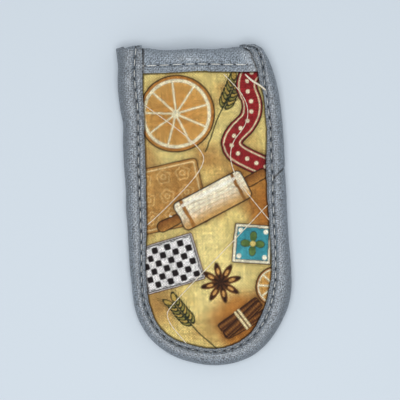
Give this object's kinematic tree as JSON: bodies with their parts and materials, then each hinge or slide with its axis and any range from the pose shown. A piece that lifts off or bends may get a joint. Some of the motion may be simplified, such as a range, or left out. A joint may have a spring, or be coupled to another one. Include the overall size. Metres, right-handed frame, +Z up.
{
  "type": "hot handle holder",
  "caption": "Flat quilted cotton pocket that slips over a hot pan handle, with a round closed end, an open mouth and bound edges.",
  "frame": {"origin": "middle of the pocket's base on the surface it lies on", "axes": "+Y out of the mouth along the pocket's length, +Z up through the front panel, +X to the right seen from above"},
  "size_m": [0.0756, 0.1524, 0.0172],
  "materials": {
    "printed_cotton": "plain-woven printed cotton, matt",
    "wadding": "cotton wadding, matt",
    "lining": "plain cotton, matt",
    "grey_tape": "bias-cut tape, slight sheen",
    "thread": "spun sewing thread"
  },
  "bodies": {
    "root": {"front_cover": "printed_cotton", "back_cover": "printed_cotton", "front_wadding": "wadding", "back_wadding": "wadding", "front_lining": "lining", "back_lining": "lining", "edge_binding": "grey_tape", "front_mouth_binding": "grey_tape", "back_mouth_binding": "grey_tape", "edge_needle_thread": "thread", "edge_bobbin_thread": "thread", "front_mouth_needle_thread": "thread", "back_mouth_needle_thread": "thread", "front_quilting_thread_1": "thread", "front_quilting_thread_2": "thread", "front_quilting_thread_3": "thread", "front_quilting_thread_4": "thread", "back_quilting_thread_1": "thread", "back_quilting_thread_2": "thread", "back_quilting_thread_3": "thread", "back_quilting_thread_4": "thread"}
  },
  "joints": []
}
